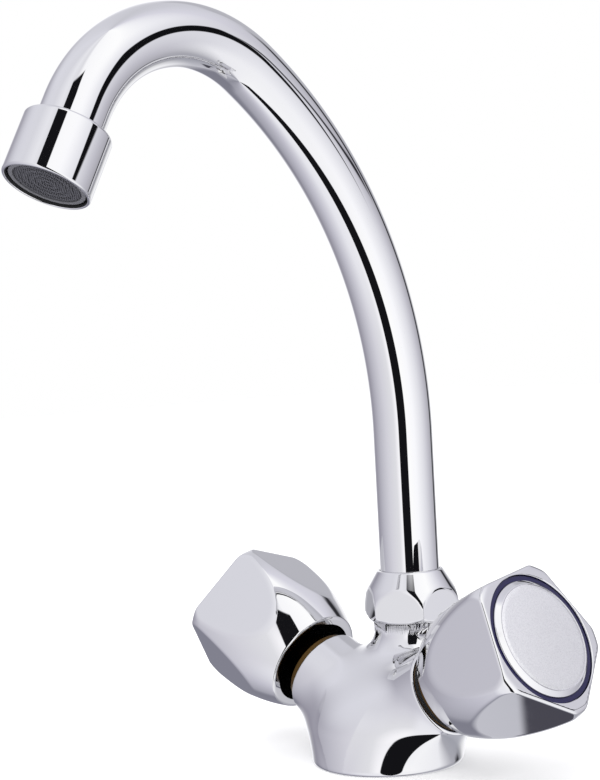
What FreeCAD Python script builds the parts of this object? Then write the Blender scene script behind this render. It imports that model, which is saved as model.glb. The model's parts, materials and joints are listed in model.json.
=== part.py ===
"""Two handle kitchen tap: a cast deck body, a swivel spout on a hex nut, and two turned valves.

Frame, in millimetres: the origin is the centre of the round foot on the worktop, +Z is up,
the outlet points to -Y, the hot valve is at -X and the cold valve at +X.
"""
import FreeCAD, Part
import math
import os
import re
import Sketcher

Vector = FreeCAD.Vector
Placement = FreeCAD.Placement
Rotation = FreeCAD.Rotation

UP = Vector(0, 0, 1)

# Driving dimensions, in millimetres and degrees.
SIZES = (
    # Cast body: a round foot that sweeps up and back to the neck, with two tilted arms.
    ("foot_radius", 25.0),
    ("foot_side", 11.0),
    ("foot_rounding", 1.6),
    ("neck_shift", 15.0),
    ("neck_wall", 0.8),
    ("neck_straight", 43.0),
    ("neck_lip", 0.5),
    ("neck_top", 45.0),
    ("arm_cross_height", 12.0),
    ("arm_tilt", 27.0),
    ("arm_root", 8.0),
    ("arm_radius", 15.0),
    ("arm_length", 32.0),
    ("arm_blend", 5.0),
    # Waterways and fixings inside the body.
    ("neck_thread_step", 0.5),
    ("neck_thread_top", 55.5),
    ("neck_bore_floor", 33.0),
    ("mouth_step", 1.4),
    ("mouth_depth", 8.0),
    ("chamber_bore", 9.4),
    ("seat_station", 14.0),
    ("seat_bore", 3.5),
    ("seat_bore_start", 8.5),
    ("mixing_bore", 3.2),
    ("mixing_station", 20.0),
    ("inlet_bore", 4.6),
    ("inlet_depth", 8.5),
    ("inlet_riser", 3.0),
    ("inlet_riser_top", 16.5),
    ("inlet_shift", 9.5),
    ("stud_bore", 3.4),
    ("stud_depth", 11.0),
    ("stud_forward", 12.5),
    ("base_seal_inner", 19.5),
    ("base_seal_outer", 22.5),
    ("base_seal_thickness", 2.0),
    # Nut that holds the spout down, and the two slip rings round the spout's collar.
    ("nut_wall", 2.5),
    ("nut_height", 17.0),
    ("nut_foot_step", 1.0),
    ("nut_foot_chamfer", 1.8),
    ("nut_ridge_top", 6.0),
    ("nut_cone_knee", 9.4),
    ("nut_cone_step", 1.2),
    ("nut_mouth_step", 1.0),
    ("nut_turn", 26.3),
    ("slip_ring_thickness", 0.8),
    ("slip_ring_step", 0.4),
    # Swivel spout.
    ("tube_radius", 10.0),
    ("tube_wall", 1.0),
    ("tube_straight", 49.35),
    ("rise_radius", 145.0),
    ("rise_angle", 55.0),
    ("crown_radius", 45.4),
    ("crown_angle", 96.8),
    ("tube_end", 14.75),
    ("spigot_length", 20.5),
    ("ferrule_wall", 3.0),
    ("collar_step", 1.5),
    ("collar_thickness", 2.0),
    ("plug_length", 12.0),
    ("ring_groove_depth", 1.85),
    ("ring_groove_width", 2.4),
    ("ring_groove_low", 4.5),
    ("ring_groove_pitch", 6.5),
    # Aerator at the outlet.
    ("sleeve_wall", 1.0),
    ("sleeve_length", 8.5),
    ("sleeve_lip", 1.0),
    ("aerator_wall", 2.3),
    ("aerator_length", 19.5),
    ("aerator_rounding", 1.2),
    ("aerator_lip", 1.6),
    ("aerator_mouth_step", 1.0),
    ("aerator_overlap", 8.0),
    ("washer_thickness", 1.8),
    ("washer_inner_step", 2.0),
    ("screen_step", 1.2),
    ("screen_thickness", 0.6),
    ("screen_depth", 1.2),
    ("screen_bar", 0.5),
    ("screen_pitch", 2.2),
    ("core_floor", 1.6),
    ("core_hole", 0.9),
    ("core_hole_circle", 5.6),
    # Valve headwork in each arm. Stations run outwards along the arm's own axis.
    ("flange_washer_thickness", 0.8),
    ("flange_radius", 13.2),
    ("flange_thickness", 1.6),
    ("headwork_flats", 17.0),
    ("headwork_hex_height", 5.0),
    ("headwork_neck_radius", 7.5),
    ("headwork_neck_length", 6.4),
    ("cage_radius", 8.7),
    ("cage_bore", 7.9),
    ("cage_end", 16.5),
    ("window_width", 9.0),
    ("window_start", 21.0),
    ("window_length", 2.6),
    ("seat_seal_bore", 4.2),
    ("disc_thickness", 2.4),
    ("disc_port_radius", 6.6),
    ("disc_port_angle", 150.0),
    ("spindle_radius", 5.0),
    ("spindle_foot_radius", 6.0),
    ("spindle_foot_thickness", 2.6),
    ("tongue_height", 1.4),
    ("tongue_width", 3.0),
    ("tongue_length", 11.0),
    ("slide_washer_thickness", 0.5),
    ("spindle_groove_floor", 3.6),
    ("spindle_groove_width", 1.8),
    ("spindle_groove_start", 30.0),
    ("spindle_groove_pitch", 4.0),
    ("circlip_groove_radius", 4.3),
    ("circlip_thickness", 0.8),
    ("circlip_radius", 6.4),
    ("circlip_mouth", 5.0),
    ("drive_flats", 6.0),
    ("drive_length", 12.0),
    # Handle: a five sided knob that rounds down to a round rim at the back.
    ("handle_gap", 3.6),
    ("handle_length", 38.7),
    ("knob_radius", 26.2),
    ("knob_dome_depth", 53.2),
    ("knob_inradius", 21.8),
    ("hot_handle_turn", -19.4),
    ("cold_handle_turn", 8.6),
    ("cavity_radius", 15.2),
    ("cavity_station", 8.0),
    ("cavity_wide_radius", 18.0),
    ("web_station", 24.0),
    ("web_thickness", 3.0),
    ("hub_radius", 6.6),
    ("hub_start", 9.5),
    ("screw_radius", 2.0),
    ("screw_length", 10.0),
    ("screw_head_radius", 3.6),
    ("screw_head_height", 2.4),
    ("screw_slot_width", 1.0),
    # Coloured index ring and the cap inside it.
    ("ring_outer", 20.9),
    ("ring_inner", 19.1),
    ("ring_depth", 3.3),
    ("ring_sink", 0.9),
    ("cap_radius", 19.0),
    ("cap_face_radius", 17.2),
    ("cap_rise", 0.9),
    ("cap_bevel", 1.3),
    ("cap_crown", 0.8),
    ("cap_skirt_radius", 18.2),
    ("cap_skirt_wall", 1.2),
    # Clearances between pieces that fit together.
    ("running_fit", 0.03),
    ("thread_fit", 0.02),
    ("swivel_gap", 0.15),
    ("end_gap", 0.05),
)

# Sizes that follow from the spout's tube, which everything on the neck and at the outlet holds.
FOLLOWING = (
    ("neck_bore", "tube_radius - tube_wall"),
    ("mouth_bore", "neck_bore + mouth_step"),
    ("ferrule_bore", "neck_bore - ferrule_wall"),
    ("ring_groove_floor", "neck_bore - ring_groove_depth"),
    ("collar_radius", "tube_radius + collar_step"),
    ("slip_ring_outer", "collar_radius + slip_ring_step"),
    ("neck_thread_radius", "collar_radius + neck_thread_step"),
    ("neck_radius", "neck_thread_radius + neck_wall"),
    ("neck_lip_radius", "neck_radius + neck_lip"),
    ("nut_flats", "2 * (neck_thread_radius + nut_wall)"),
    ("nut_foot_radius", "neck_radius + nut_foot_step"),
    ("nut_cone_knee_radius", "nut_flats / 2 + nut_cone_step"),
    ("nut_mouth_radius", "tube_radius + nut_mouth_step"),
    ("sleeve_radius", "tube_radius + sleeve_wall"),
    ("aerator_radius", "sleeve_radius + aerator_wall"),
    ("aerator_mouth", "sleeve_radius - aerator_mouth_step"),
    ("screen_radius", "aerator_mouth - screen_step"),
    ("washer_inner", "tube_radius - washer_inner_step"),
)

document = FreeCAD.newDocument("two_handle_tap")
sheet = document.addObject("Spreadsheet::Sheet", "Size")
for row, (alias, value) in enumerate(SIZES + FOLLOWING, start=1):
    sheet.set(f"A{row}", alias)
    sheet.set(f"B{row}", f"={value}")
    sheet.setAlias(f"B{row}", alias)
document.recompute()

nodes = []


# ---------------------------------------------------------------- helpers
def linked(formula):
    """The formula with each dimension's name turned into a reference to its cell."""
    return re.sub(r"\b[a-z]+(_[a-z]+)+\b", lambda word: "Size." + word.group(), str(formula))


def size(formula):
    """The present value of a formula in the dimensions."""
    return float(sheet.evalExpression(linked(formula)))


def bind(thing, **formulas):
    """Binds properties to formulas; a double underscore in a name stands for a dot."""
    for name, formula in formulas.items():
        thing.setExpression(name.replace("__", "."), linked(formula))
    return thing


def solid(kind, name, **formulas):
    """A primitive with its sizes bound to the sheet."""
    return bind(document.addObject(kind, name), **formulas)


def combine(kind, name, *pieces):
    """A boolean of two or more pieces: the first is the base of a cut."""
    result = document.addObject(kind, name)
    if kind in ("Part::MultiFuse", "Part::MultiCommon"):
        result.Shapes = list(pieces)
    elif kind == "Part::Compound":
        result.Links = list(pieces)
    else:
        result.Base, result.Tool = pieces
    return result


def keep(piece, label):
    """Names a finished sub-part, which is written to its own file."""
    piece.Label = label
    nodes.append(piece)


def on_neck(piece, height="0"):
    """Puts a piece on the swivel axis, which stands behind the foot's centre."""
    return bind(piece, Placement__Base__y="neck_shift", Placement__Base__z=height)


def on_arm(piece, side, station="0"):
    """Lays a piece along an arm's axis: its own +Z then points out of the arm."""
    piece.Placement = Placement(Vector(), Rotation(Vector(0, side, 0), 90 - size("arm_tilt")))
    return bind(
        piece,
        Placement__Base__x=f"{side} * cos(arm_tilt) * ({station})",
        Placement__Base__z=f"arm_cross_height + sin(arm_tilt) * ({station})",
        Placement__Rotation__Angle="90 - arm_tilt",
    )


def spin(piece, angle):
    """Turns a piece about its own +Z."""
    piece.Placement = Placement(piece.Placement.Base, Rotation(UP, angle))
    return piece


def outline_sketch(body, name, plane, corners):
    """A closed outline of straight sides whose corners are formulas, on one of the body's planes."""
    sketch = body.newObject("Sketcher::SketchObject", name)
    planes = [item for item in body.Origin.OriginFeatures if item.Role == plane]
    sketch.AttachmentSupport = [(planes[0], "")]
    sketch.MapMode = "FlatFace"
    points = [Vector(size(across), size(along), 0) for across, along in corners]
    for start, end in zip(points, points[1:] + points[:1]):
        sketch.addGeometry(Part.LineSegment(start, end), False)
    for index, corner in enumerate(corners):
        before = (index - 1) % len(corners)
        sketch.addConstraint(Sketcher.Constraint("Coincident", before, 2, index, 1))
        for direction, formula in zip(("DistanceX", "DistanceY"), corner):
            if size(formula) == 0:
                axis = -2 if direction == "DistanceX" else -1
                sketch.addConstraint(Sketcher.Constraint("PointOnObject", index, 1, axis))
            else:
                rule = Sketcher.Constraint(direction, -1, 1, index, 1, size(formula))
                sketch.setExpression(f"Constraints[{sketch.addConstraint(rule)}]", linked(formula))
    return sketch


def turned(name, corners):
    """A lathe-turned body: an outline of (radius, height) corners revolved about +Z."""
    body = document.addObject("PartDesign::Body", name)
    sketch = outline_sketch(body, name + "_outline", "XZ_Plane", corners)
    revolution = body.newObject("PartDesign::Revolution", name + "_turning")
    revolution.Profile = sketch
    revolution.ReferenceAxis = (sketch, ["V_Axis"])
    revolution.Angle = 360
    return body


def ring(name, inner, outer, low, high):
    """A flat ring between two radii and two heights."""
    return turned(name, ((inner, low), (outer, low), (outer, high), (inner, high)))


def seal_ring(name, floor, wall, middle):
    """A round-section seal that fills the room between a groove's floor and the wall."""
    return solid(
        "Part::Torus", name,
        Radius1=f"({floor} + {wall}) / 2",
        Radius2=f"({wall} - {floor}) / 2",
        Placement__Base__z=middle,
    )


# ---------------------------------------------------------------- cast body
def swept_trunk():
    """The foot's circle sweeping up and back to the neck: centre and radius follow the same
    smooth step, 3u^2 - 2u^3, between the top of the foot's side and the start of the neck."""
    circles = []
    stations = [(0, f"foot_side * {share}") for share in (0, 0.35, 0.7)]
    for share in (0, 0.2, 0.4, 0.6, 0.8, 1):
        step = share * share * (3 - 2 * share)
        stations.append((step, f"foot_side + {share} * (neck_straight - foot_side)"))
    for step, rise in stations:
        circle = document.addObject("Part::Circle", "trunk_section")
        bind(
            circle,
            Radius=f"foot_radius + {step} * (neck_radius - foot_radius)",
            Placement__Base__y=f"{step} * neck_shift",
            Placement__Base__z=rise,
        )
        circles.append(circle)
    end = document.addObject("Part::Circle", "trunk_section")
    circles.append(bind(on_neck(end, "neck_top"), Radius="neck_lip_radius"))
    trunk = document.addObject("Part::Loft", "trunk")
    trunk.Sections = circles
    trunk.Solid = True
    trunk.Ruled = False
    return trunk


def blended(base, name, radius, wanted):
    """A fillet on the edges that the test picks from the shape."""
    document.recompute()
    picked = []
    for number, edge in enumerate(base.Shape.Edges, start=1):
        faces = base.Shape.ancestorsOfType(edge, Part.Face)
        if wanted(edge, [type(face.Surface) for face in faces]):
            picked.append((number, size(radius), size(radius)))
    fillet = document.addObject("Part::Fillet", name)
    fillet.Base = base
    fillet.Edges = picked
    return fillet


def arm_seam(edge, surfaces):
    """Where an arm runs into the trunk."""
    return Part.Cylinder in surfaces and Part.BSplineSurface in surfaces


def body_waterways():
    """The neck's bore, the two valve chambers with their seats, the mixing ways between them,
    the threaded inlets and the stud hole underneath, and the groove of the base seal."""
    tools = []
    bore = solid(
        "Part::Cylinder", "neck_bore",
        Radius="neck_bore", Height="neck_thread_top - neck_bore_floor + 1",
    )
    tools.append(on_neck(bore, "neck_bore_floor"))
    for side in (-1, 1):
        for name, radius, start, end in (
            ("mouth", "mouth_bore", "arm_length - mouth_depth", "arm_length + 1"),
            ("chamber", "chamber_bore", "seat_station", "arm_length"),
            ("seat_way", "seat_bore", "seat_bore_start", "seat_station + 1"),
        ):
            way = solid("Part::Cylinder", name, Radius=radius, Height=f"{end} - ({start})")
            tools.append(on_arm(way, side, start))
        for name, radius, height in (
            ("inlet", "inlet_bore", "inlet_depth + 1"),
            ("inlet_riser", "inlet_riser", "inlet_riser_top + 1"),
        ):
            way = solid("Part::Cylinder", name, Radius=radius, Height=height)
            tools.append(bind(way, Placement__Base__x=f"{side} * inlet_shift", Placement__Base__z="-1"))
        tools.append(mixing_way(side))
    stud = solid("Part::Cylinder", "stud_hole", Radius="stud_bore", Height="stud_depth + 1")
    tools.append(bind(stud, Placement__Base__y="-stud_forward", Placement__Base__z="-1"))
    tools.append(ring(
        "base_seal_groove", "base_seal_inner - end_gap", "base_seal_outer + end_gap",
        "-1", "base_seal_thickness",
    ))
    return combine("Part::MultiFuse", "body_waterways", *tools)


def mixing_way(side):
    """A drilled way from a valve chamber's middle to the floor of the neck's bore."""
    chamber = Vector(
        side * size("cos(arm_tilt) * mixing_station"), 0,
        size("arm_cross_height + sin(arm_tilt) * mixing_station"),
    )
    neck = Vector(0, size("neck_shift"), size("neck_bore_floor + mixing_bore"))
    run = neck - chamber
    way = document.addObject("Part::Feature", "mixing_way")
    way.Shape = Part.makeCylinder(size("mixing_bore"), run.Length, chamber, run)
    return way


def body_casting():
    arms = []
    for side in (-1, 1):
        arm = solid("Part::Cylinder", "arm", Radius="arm_radius", Height="arm_length - arm_root")
        arms.append(on_arm(arm, side, "arm_root"))
    outside = combine("Part::MultiFuse", "trunk_and_arms", swept_trunk(), *arms)
    soft = blended(outside, "arm_blends", "arm_blend", arm_seam)
    foot = blended(
        soft, "foot_blend", "foot_rounding",
        lambda edge, surfaces: Part.Plane in surfaces and edge.BoundBox.ZMax < 0.1,
    )
    thread = solid(
        "Part::Cylinder", "neck_thread",
        Radius="neck_thread_radius", Height="neck_thread_top - neck_straight",
    )
    whole = combine("Part::MultiFuse", "casting_blank", foot, on_neck(thread, "neck_straight"))
    keep(combine("Part::Cut", "casting", whole, body_waterways()), "body_casting")


def base_seal():
    keep(ring("base_seal", "base_seal_inner", "base_seal_outer", "0", "base_seal_thickness"), "base_seal")


# ---------------------------------------------------------------- spout nut and slip rings
COLLAR_LOW = "neck_thread_top + slip_ring_thickness + end_gap"
COLLAR_TOP = COLLAR_LOW + " + collar_thickness"
UPPER_RING = COLLAR_TOP + " + end_gap"


def spout_nut():
    """A hexagon whose corners are turned to a chamfered foot and a long cone."""
    hexagon = solid(
        "Part::Prism", "nut_hexagon",
        Circumradius="nut_flats / 2 / cos(30)", Height="nut_height",
    )
    hexagon.Polygon = 6
    spin(hexagon, size("nut_turn"))
    corner = "nut_flats / 2 / cos(30)"
    shoulder = f"{UPPER_RING} + slip_ring_thickness - neck_top"
    form = turned("nut_form", (
        ("neck_thread_radius + thread_fit", "0"),
        ("nut_foot_radius", "0"),
        (corner, "nut_foot_chamfer"),
        (corner, "nut_ridge_top"),
        ("nut_cone_knee_radius", "nut_cone_knee"),
        ("nut_mouth_radius", "nut_height"),
        ("tube_radius + swivel_gap", "nut_height"),
        ("tube_radius + swivel_gap", shoulder),
        ("neck_thread_radius + thread_fit", shoulder),
    ))
    nut = combine("Part::MultiCommon", "nut", hexagon, form)
    keep(on_neck(nut, "neck_top"), "spout_nut")


def slip_rings():
    inner = "neck_bore + swivel_gap"
    lower = ring("slip_low", inner, "slip_ring_outer", "0", "slip_ring_thickness")
    keep(on_neck(lower, "neck_thread_top"), "slip_ring_lower")
    inner = "tube_radius + swivel_gap"
    upper = ring("slip_high", inner, "slip_ring_outer", "0", "slip_ring_thickness")
    keep(on_neck(upper, UPPER_RING), "slip_ring_upper")


# ---------------------------------------------------------------- swivel spout
def spout_path():
    """The tube's middle line in its own plane: up, a wide bend forward, a tight one over the
    crown, and a short straight end. Returns its wire, its last point and its last direction."""
    start = Vector(0, size("neck_shift"), size(COLLAR_TOP))
    rise_end = math.radians(size("rise_angle"))
    crown_end = rise_end + math.radians(size("crown_angle"))

    def heading(angle):
        return Vector(0, -math.sin(angle), math.cos(angle))

    def on_bend(first, radius, before, after):
        """The point at the angle after, on the bend that passes first at the angle before."""
        across = Vector(0, math.cos(after) - math.cos(before), 0)
        along = Vector(0, 0, math.sin(after) - math.sin(before))
        return first + (across + along) * radius

    foot = start + UP * size("tube_straight")
    knee = on_bend(foot, size("rise_radius"), 0, rise_end)
    lip = on_bend(knee, size("crown_radius"), rise_end, crown_end)
    tip = lip + heading(crown_end) * size("tube_end")
    edges = [
        Part.LineSegment(start, foot),
        Part.Arc(foot, on_bend(foot, size("rise_radius"), 0, rise_end / 2), knee),
        Part.Arc(knee, on_bend(knee, size("crown_radius"), rise_end, (rise_end + crown_end) / 2), lip),
        Part.LineSegment(lip, tip),
    ]
    return Part.Wire([edge.toShape() for edge in edges]), tip, heading(crown_end)


def spout_tube():
    """One drawn tube, swept along its path and bored by the same sweep less its wall."""
    path = spout_path()[0]
    start = Vector(0, size("neck_shift"), size(COLLAR_TOP))
    sweeps = []
    for radius in (size("tube_radius"), size("tube_radius - tube_wall")):
        section = Part.Wire([Part.Circle(start, UP, radius).toShape()])
        sweeps.append(path.makePipeShell([section], True, False))
    tube = document.addObject("Part::Feature", "tube")
    tube.Shape = sweeps[0].cut(sweeps[1])
    keep(tube, "spout_tube")


def spout_ferrule():
    """The brazed foot of the tube: a spigot with two seal grooves, a collar and a plug."""
    spigot = "neck_bore - running_fit"
    low = COLLAR_LOW + " - spigot_length"
    groove = low + " + ring_groove_low"
    upper = groove + " + ring_groove_pitch"
    corners = [("ferrule_bore", low), (spigot, low)]
    for bottom in (groove, upper):
        top = bottom + " + ring_groove_width"
        corners += [(spigot, bottom), ("ring_groove_floor", bottom)]
        corners += [("ring_groove_floor", top), (spigot, top)]
    plug = "tube_radius - tube_wall - thread_fit"
    corners += [
        (spigot, COLLAR_LOW),
        ("collar_radius", COLLAR_LOW),
        ("collar_radius", COLLAR_TOP),
        (plug, COLLAR_TOP),
        (plug, COLLAR_TOP + " + plug_length"),
        ("ferrule_bore", COLLAR_TOP + " + plug_length"),
    ]
    keep(on_neck(turned("ferrule", corners)), "spout_ferrule")
    seals = []
    for bottom in (groove, upper):
        seal = seal_ring("spigot_seal", "ring_groove_floor", spigot, bottom + " + ring_groove_width / 2")
        seals.append(seal)
    keep(on_neck(combine("Part::Compound", "spigot_seals", *seals)), "spout_o_rings")


# ---------------------------------------------------------------- aerator
def at_outlet(piece):
    """Moves a piece from its own frame, +Z along the flow, to the aerator's upper edge."""
    tip, heading = spout_path()[1:]
    start = tip - heading * size("aerator_overlap")
    piece.Placement = Placement(start, Rotation(UP, heading))
    return piece


CORE_END = "aerator_length - aerator_lip"


def outlet_sleeve():
    sleeve = turned("sleeve", (
        ("tube_radius + thread_fit", "sleeve_lip"),
        ("sleeve_radius", "sleeve_lip"),
        ("sleeve_radius", "sleeve_lip + sleeve_length"),
        ("tube_radius - tube_wall", "sleeve_lip + sleeve_length"),
        ("tube_radius - tube_wall", "aerator_overlap"),
        ("tube_radius + thread_fit", "aerator_overlap"),
    ))
    keep(at_outlet(sleeve), "outlet_sleeve")


def aerator_housing():
    rounding = "aerator_rounding * (1 - cos(45))"
    bore = "sleeve_radius + thread_fit"
    housing = turned("housing", (
        (bore, "0"),
        ("aerator_radius - aerator_rounding", "0"),
        (f"aerator_radius - {rounding}", rounding),
        ("aerator_radius", "aerator_rounding"),
        ("aerator_radius", "aerator_length - aerator_rounding / 2"),
        ("aerator_radius - aerator_rounding / 2", "aerator_length"),
        ("aerator_mouth", "aerator_length"),
        ("aerator_mouth", CORE_END),
        (bore, CORE_END),
    ))
    keep(at_outlet(housing), "aerator_housing")


def aerator_washer():
    low = "sleeve_lip + sleeve_length + end_gap"
    wall = "sleeve_radius - end_gap"
    washer = ring("outlet_washer", "washer_inner", wall, low, low + " + washer_thickness")
    keep(at_outlet(washer), "aerator_washer")


def aerator_core():
    """A moulded cup with a ring of small jets in its floor and a seat for the screen."""
    low = "sleeve_lip + sleeve_length + end_gap + washer_thickness"
    cup = turned("core_cup", (
        ("0", low),
        ("sleeve_radius - end_gap", low),
        ("sleeve_radius - end_gap", CORE_END),
        ("screen_radius + end_gap", CORE_END),
        ("screen_radius + end_gap", CORE_END + " - screen_depth - screen_thickness"),
        ("screen_radius - 2 * screen_bar", CORE_END + " - screen_depth - screen_thickness"),
        ("screen_radius - 2 * screen_bar", low + " + core_floor"),
        ("0", low + " + core_floor"),
    ))
    jets = []
    for number in range(8):
        angle = f"{number * 45}"
        jet = solid(
            "Part::Cylinder", "core_jet", Radius="core_hole", Height="core_floor + 2",
            Placement__Base__x=f"core_hole_circle * cos({angle})",
            Placement__Base__y=f"core_hole_circle * sin({angle})",
            Placement__Base__z=low + " - 1",
        )
        jets.append(jet)
    core = combine("Part::Cut", "core", cup, combine("Part::MultiFuse", "core_jets", *jets))
    keep(at_outlet(core), "aerator_core")


def aerator_screen():
    """A punched screen: concentric rings joined by four bars."""
    low = CORE_END + " - screen_depth - screen_thickness"
    high = CORE_END + " - screen_depth"
    bands = [ring("screen_rim", "screen_radius - 2 * screen_bar", "screen_radius", low, high)]
    for number in (1, 2, 3):
        middle = f"screen_radius - screen_bar - {number} * screen_pitch"
        bands.append(ring(
            "screen_band", f"{middle} - screen_bar / 2", f"{middle} + screen_bar / 2", low, high,
        ))
    for axis, other in (("Length", "Width"), ("Width", "Length")):
        bar = solid("Part::Box", "screen_spoke", Height="screen_thickness", Placement__Base__z=low)
        along, across = ("x", "y") if axis == "Length" else ("y", "x")
        bar.setExpression(axis, linked("2 * (screen_radius - screen_bar)"))
        bar.setExpression(other, linked("screen_bar"))
        bar.setExpression(f"Placement.Base.{along}", linked("screen_bar - screen_radius"))
        bar.setExpression(f"Placement.Base.{across}", linked("-screen_bar / 2"))
        bands.append(bar)
    keep(at_outlet(combine("Part::MultiFuse", "screen", *bands)), "aerator_screen")


# ---------------------------------------------------------------- valve headwork
FLANGE_LOW = "arm_length + flange_washer_thickness"
FLANGE_TOP = FLANGE_LOW + " + flange_thickness"
HEX_TOP = FLANGE_TOP + " + headwork_hex_height"
NECK_END = HEX_TOP + " + headwork_neck_length"
DISC_LOW = "cage_end + end_gap"
DISC_JOINT = DISC_LOW + " + disc_thickness"
DISC_TOP = DISC_JOINT + " + disc_thickness + end_gap"
FOOT_TOP = DISC_TOP + " + spindle_foot_thickness"
CAGE_FLOOR = FOOT_TOP + " + slide_washer_thickness + 2 * end_gap"
DRIVE_START = NECK_END + " + circlip_thickness + 2 * end_gap"
DRIVE_END = DRIVE_START + " + drive_length"


def valve_housing(side, prefix):
    """The brass headwork: a windowed cage for the discs, a threaded shank, a flange, a hexagon
    and the neck that guides the spindle."""
    shank = "mouth_bore - thread_fit"
    guide = "spindle_radius + running_fit"
    form = turned("headwork_form", (
        ("cage_bore", "cage_end"),
        ("cage_radius", "cage_end"),
        ("cage_radius", "arm_length - mouth_depth + end_gap"),
        (shank, "arm_length - mouth_depth + end_gap"),
        (shank, FLANGE_LOW),
        ("flange_radius", FLANGE_LOW),
        ("flange_radius", FLANGE_TOP),
        ("headwork_neck_radius", FLANGE_TOP),
        ("headwork_neck_radius", NECK_END),
        (guide, NECK_END),
        (guide, CAGE_FLOOR),
        ("cage_bore", CAGE_FLOOR),
    ))
    hexagon = solid(
        "Part::Prism", "headwork_hexagon", Placement__Base__z=FLANGE_TOP,
        Circumradius="headwork_flats / 2 / cos(30)", Height="headwork_hex_height",
    )
    hexagon.Polygon = 6
    blank = combine("Part::MultiFuse", "headwork_blank", form, hexagon)
    bore = solid(
        "Part::Cylinder", "guide_bore", Placement__Base__z="arm_length",
        Radius=guide, Height=f"{NECK_END} - arm_length + 1",
    )
    windows = solid(
        "Part::Box", "cage_windows",
        Length="2 * cage_radius + 2", Width="window_width", Height="window_length",
        Placement__Base__x="-cage_radius - 1", Placement__Base__y="-window_width / 2",
        Placement__Base__z="window_start",
    )
    tools = combine("Part::MultiFuse", "headwork_tools", bore, windows)
    headwork = combine("Part::Cut", "headwork", blank, tools)
    keep(on_arm(headwork, side), prefix + "valve_housing")


def valve_seals(side, prefix):
    washer = ring("mouth_washer", "mouth_bore + end_gap", "flange_radius - end_gap", "arm_length", FLANGE_LOW)
    keep(on_arm(washer, side), prefix + "housing_seal")
    seal = ring("seat_ring", "seat_seal_bore", "cage_radius - end_gap", "seat_station", "cage_end")
    keep(on_arm(seal, side), prefix + "seat_seal")


def ceramic_discs(side, prefix):
    """Two lapped discs, each with one sector port: the fixed one faces the seat, and the
    moving one has the slot that the spindle's tongue turns."""
    for name, low, opening, lead in (
        ("fixed_disc", DISC_LOW, "0", "90"),
        ("moving_disc", DISC_JOINT + " + end_gap", "tongue_height", "270"),
    ):
        height = "disc_thickness - end_gap"
        rim = "cage_bore - running_fit - end_gap"
        disc = solid("Part::Cylinder", name + "_blank", Radius=rim, Height=height)
        port = solid(
            "Part::Cylinder", "port", Radius="disc_port_radius", Height="disc_thickness + 2",
            Angle="disc_port_angle", Placement__Base__z="-1",
        )
        spin(port, size(lead) - size("disc_port_angle") / 2)
        tools = [port]
        if opening != "0":
            slot = solid(
                "Part::Box", "tongue_slot", Length="tongue_length + 2 * running_fit",
                Width="tongue_width + 2 * running_fit", Height="tongue_height + 1",
                Placement__Base__x="-tongue_length / 2 - running_fit",
                Placement__Base__y="-tongue_width / 2 - running_fit",
                Placement__Base__z=f"{height} - tongue_height",
            )
            tools.append(slot)
        cutter = combine("Part::MultiFuse", name + "_tools", *tools) if tools[1:] else port
        piece = combine("Part::Cut", name + "_solid", disc, cutter)
        keep(on_arm(piece, side, low), prefix + name)


def spindle(side, prefix):
    """The turned spindle: a tongue, a foot that bears on the slide washer, two seal grooves,
    a circlip groove and the square end that drives the handle."""
    groove = "spindle_groove_start"
    second = groove + " + spindle_groove_pitch"
    corners = [
        ("0", DISC_TOP),
        ("spindle_foot_radius", DISC_TOP),
        ("spindle_foot_radius", FOOT_TOP),
        ("spindle_radius", FOOT_TOP),
    ]
    for low in (groove, second):
        high = low + " + spindle_groove_width"
        corners += [("spindle_radius", low), ("spindle_groove_floor", low)]
        corners += [("spindle_groove_floor", high), ("spindle_radius", high)]
    corners += [
        ("spindle_radius", NECK_END + " + end_gap"),
        ("circlip_groove_radius", NECK_END + " + end_gap"),
        ("circlip_groove_radius", DRIVE_START),
        ("0", DRIVE_START),
    ]
    form = turned("spindle_form", corners)
    tongue = solid(
        "Part::Box", "tongue", Length="tongue_length", Width="tongue_width", Height="tongue_height + 1",
        Placement__Base__x="-tongue_length / 2", Placement__Base__y="-tongue_width / 2",
        Placement__Base__z=f"{DISC_TOP} - tongue_height + end_gap",
    )
    square = solid(
        "Part::Box", "drive_square", Length="drive_flats", Width="drive_flats", Height="drive_length + 1",
        Placement__Base__x="-drive_flats / 2", Placement__Base__y="-drive_flats / 2",
        Placement__Base__z=f"{DRIVE_START} - 1",
    )
    blank = combine("Part::MultiFuse", "spindle_blank", form, tongue, square)
    tapping = solid(
        "Part::Cylinder", "spindle_tapping", Radius="screw_radius + thread_fit",
        Height="screw_length + 1", Placement__Base__z=f"{DRIVE_END} - screw_length",
    )
    keep(on_arm(combine("Part::Cut", "spindle", blank, tapping), side), prefix + "spindle")
    seals = []
    for low in (groove, second):
        middle = low + " + spindle_groove_width / 2"
        seals.append(seal_ring("spindle_seal", "spindle_groove_floor", "spindle_radius", middle))
    keep(on_arm(combine("Part::Compound", "spindle_seals", *seals), side), prefix + "spindle_o_rings")


def spindle_stops(side, prefix):
    """The washer that the spindle's foot slides on, and the clip that keeps the spindle in."""
    washer = ring(
        "slide_ring", "spindle_radius + end_gap", "cage_bore - end_gap",
        FOOT_TOP + " + end_gap", FOOT_TOP + " + end_gap + slide_washer_thickness",
    )
    keep(on_arm(washer, side), prefix + "slide_washer")
    low = NECK_END + " + 1.5 * end_gap"
    high = low + " + circlip_thickness"
    hoop = ring("clip_hoop", "circlip_groove_radius + running_fit", "circlip_radius", low, high)
    mouth = solid(
        "Part::Box", "clip_mouth", Length="circlip_radius + 1", Width="circlip_mouth",
        Height="circlip_thickness + 2", Placement__Base__y="-circlip_mouth / 2",
        Placement__Base__z=f"{low} - 1",
    )
    keep(on_arm(combine("Part::Cut", "clip", hoop, mouth), side), prefix + "spindle_circlip")


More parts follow.
